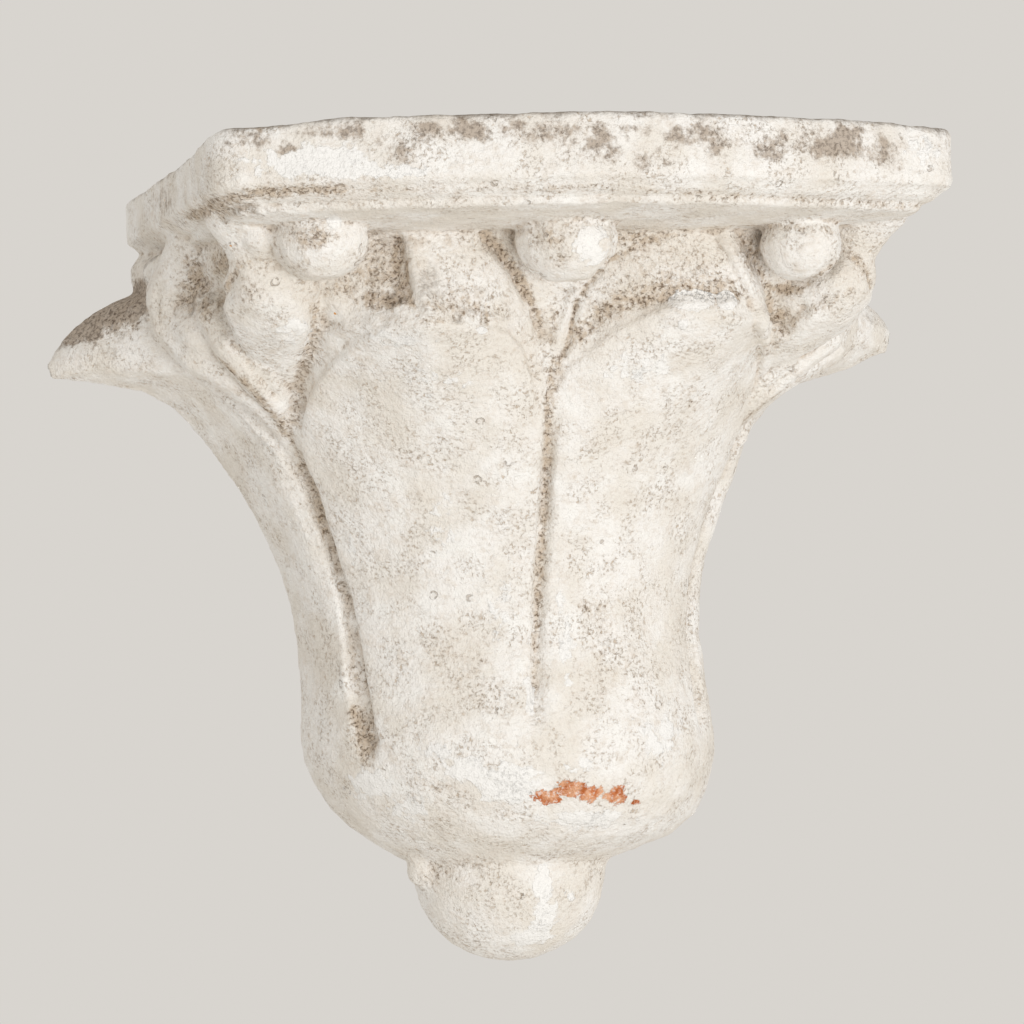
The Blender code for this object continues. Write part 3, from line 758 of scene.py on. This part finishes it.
# Dirt that stays in hollows: half width in millimetres, strength, both halves, corners.
dirty_lines = [
    (4.0, 0.62, True, [(240, 388), (262, 405), (283, 425), (298, 450), (317, 500), (333, 550)]),
    (2.6, 0.48, True, [(333, 550), (345, 600), (352, 650), (358, 690)]),
    (4.6, 0.90, False, [(356, 712), (362, 732), (368, 752)]),
    (3.2, 0.72, False, [(556, 362), (551, 385), (548, 410), (547, 450), (545, 500), (541, 550), (538, 600)]),
    (1.3, 0.70, False, [(551, 385), (548, 410), (547, 450), (545, 500), (541, 550), (538, 600), (536, 630)]),
    (2.4, 0.50, False, [(538, 590), (536, 630), (534, 670)]),
    (1.6, 0.30, False, [(534, 670), (533, 710), (533, 745)]),
    (3.4, 0.95, False, [(484, 232), (500, 250), (514, 270), (526, 292)]),
    (2.2, 0.80, False, [(526, 292), (534, 306), (540, 322)]),
    (6.0, 0.72, False, [(578, 336), (600, 312), (620, 300), (645, 292), (672, 287), (705, 287), (728, 286)]),
    (3.6, 0.95, False, [(640, 300), (672, 296), (705, 296), (735, 296)]),
    (1.8, 0.70, False, [(579, 300), (588, 284), (609, 260), (627, 251), (650, 241), (676, 233)]),
    (1.4, 0.90, False, [(577, 300), (572, 322), (568, 343), (561, 360)]),
    (4.0, 0.62, False, [(312, 306), (316, 330), (310, 350), (303, 372), (299, 396), (297, 420)]),
    (2.6, 0.70, True, [(242, 262), (229, 285), (218, 308)]),
    (3.2, 0.75, False, [(222, 362), (240, 378), (256, 396), (272, 414), (288, 436)]),
    (5.0, 0.80, False, [(398, 240), (398, 275), (402, 300)]),
    (2.4, 0.95, False, [(407, 262), (408, 285), (412, 306)]),
    (4.6, 0.80, False, [(190, 218), (205, 210), (225, 200), (250, 194), (290, 190), (340, 190)]),
    (3.4, 0.42, False, [(320, 190), (420, 189), (520, 188), (640, 190), (760, 196), (860, 202), (915, 207)]),
    (2.0, 0.5, False, [(160, 305), (161, 325)]),
    (2.6, 0.8, False, [(740, 236), (750, 252), (762, 274), (768, 290), (771, 318)]),
    (2.2, 0.6, False, [(700, 228), (740, 226), (780, 226), (830, 230)]),
    (2.6, 0.6, False, [(836, 262), (815, 277), (800, 292)]),
    (3.4, 0.5, False, [(850, 292), (822, 304), (800, 316), (782, 332), (768, 352)]),
    (2.4, 0.45, False, [(280, 222), (274, 240), (284, 262), (300, 280)]),
    (3.0, 0.55, False, [(372, 232), (370, 250), (362, 268), (345, 282), (322, 292)]),
]
dirty_marks = [
    (376, 266, 14, 18, 0.60), (345, 288, 10, 6, 0.6), (384, 300, 13, 6, 0.95), (196, 285, 9, 17, 0.85),
    (222, 264, 9, 8, 0.8), (206, 308, 5, 7, 0.75), (786, 289, 9, 3.4, 1.0), (779, 315, 6, 4, 0.95),
    (752, 252, 6, 12, 0.75), (722, 290, 8, 5, 0.7), (635, 238, 18, 5, 0.7), (440, 306, 9, 6, 0.55),
    (470, 305, 14, 8, 0.6), (432, 321, 6, 1.6, 0.85), (487, 318, 1.2, 3.6, 1.0), (310, 238, 12, 5, 0.75),
    (660, 262, 34, 12, 0.40), (366, 742, 6, 11, 1.0), (550, 322, 6, 12, 0.55), (480, 700, 12, 10, 0.3),
    (380, 860, 14, 10, 0.3), (440, 870, 12, 8, 0.45), (215, 208, 16, 7, 0.7), (110, 318, 22, 13, 0.6),
    (470, 670, 10, 12, 0.4), (690, 400, 14, 14, 0.35), (258, 262, 8, 5, 0.5), (560, 250, 8, 8, 0.4),
    (548, 235, 10, 8, 0.55), (430, 245, 6, 5, 0.3),
    (598, 610, 14, 16, 0.42), (610, 660, 16, 12, 0.36), (640, 700, 12, 10, 0.3), (440, 650, 22, 12, 0.32),
    (665, 500, 12, 14, 0.26), (400, 450, 16, 12, 0.24), (440, 786, 7, 3, 0.62), (455, 862, 16, 4, 0.42),
    (560, 858, 20, 3, 0.35), (390, 520, 12, 16, 0.22), (250, 292, 8, 12, 0.42), (786, 289, 8, 3.0, 1.2),
    (300, 268, 8, 6, 0.4),
]

# Ovals in the same frame: middle, half width and half height in millimetres, strength.
plaster_marks = [
    (512, 784, 16, 10, 1.1), (468, 770, 14, 7, 0.95), (438, 752, 10, 5, 0.8), (368, 784, 14, 10, 0.85),
    (410, 808, 12, 8, 0.7), (588, 820, 26, 5, 0.88), (585, 766, 10, 4, 0.8), (541, 884, 6, 9, 0.95),
    (543, 898, 5, 6, 0.85), (545, 912, 7, 8, 0.9), (540, 928, 6, 7, 0.8), (528, 938, 13, 5, 0.85),
    (424, 912, 6, 4, 0.8), (570, 899, 3, 5, 0.85),
    (566, 645, 4, 20, 0.70), (561, 600, 3, 12, 0.65), (530, 700, 3, 18, 0.62), (352, 550, 3, 12, 0.62),
    (660, 730, 18, 8, 0.62), (442, 520, 8, 26, 0.52), (500, 610, 8, 22, 0.50), (692, 300, 10, 4.2, 1.8),
    (727, 300, 4.4, 4.0, 1.8), (683, 324, 3.4, 2.4, 0.95), (318, 162, 30, 8, 1.05), (390, 170, 20, 4, 0.8),
    (660, 745, 14, 12, 0.55),
    (590, 245, 9, 13, 0.74), (333, 222, 4, 3.6, 0.98), (482, 330, 3, 1.6, 0.95), (925, 150, 10, 10, 0.62),
    (300, 330, 12, 8, 0.62), (395, 340, 20, 6, 0.55), (640, 370, 20, 10, 0.6), (430, 380, 26, 8, 0.5),
]
bare_marks = [
    (548, 797, 9, 4.4, 0.86), (568, 789, 8, 5.0, 1.0), (590, 793, 9, 4.6, 0.96), (615, 795, 6, 5.2, 1.02),
    (636, 802, 2.8, 1.8, 0.92),
]
grime_marks = [
    (430, 138, 52, 8, 0.42), (398, 155, 12, 7, 0.62), (470, 130, 14, 6, 0.80), (420, 128, 10, 4, 0.7),
    (560, 135, 50, 8, 0.52), (600, 145, 14, 9, 0.66), (720, 138, 60, 9, 0.56), (770, 148, 12, 8, 0.75),
    (835, 142, 30, 10, 0.78), (880, 150, 16, 9, 0.66), (290, 150, 14, 3, 0.7), (255, 138, 14, 6, 0.6),
    (345, 160, 8, 4, 0.55), (240, 205, 16, 7, 0.55), (650, 160, 22, 6, 0.5), (165, 205, 30, 24, 0.46),
    (84, 326, 22, 9, 1.0), (112, 310, 24, 10, 1.15), (134, 299, 14, 9, 1.25), (560, 128, 60, 5, 0.6),
    (330, 132, 26, 5, 0.6), (700, 132, 50, 6, 0.58),
]

at_photo_angle()
studio()
cast = cast_mesh()
worked_surface(cast)
thin_out(cast)

# Masks for the material: painted shade and dirt in sheltered spots and hollows, dust and painted shade on what
# faces up, and the drawn marks.
keep(cast.data, "sheltered_shade_and_dirt", sheltered_shade_and_dirt(cast))
keep(cast.data, "hollow", hollows(cast))
keep(cast.data, "dust_and_top_shade", lie(cast))
keep(cast.data, "dirt", np.maximum(stained(cast, dirty_lines), patches(cast, dirty_marks)))
keep(cast.data, "plaster", patches(cast, plaster_marks))
keep(cast.data, "bare", patches(cast, bare_marks))
keep(cast.data, "grime", patches(cast, grime_marks))
one_skin(cast)
cast.data.materials.clear()
cast.data.materials.append(limewash())
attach(cast, "root")
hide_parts("corbel")
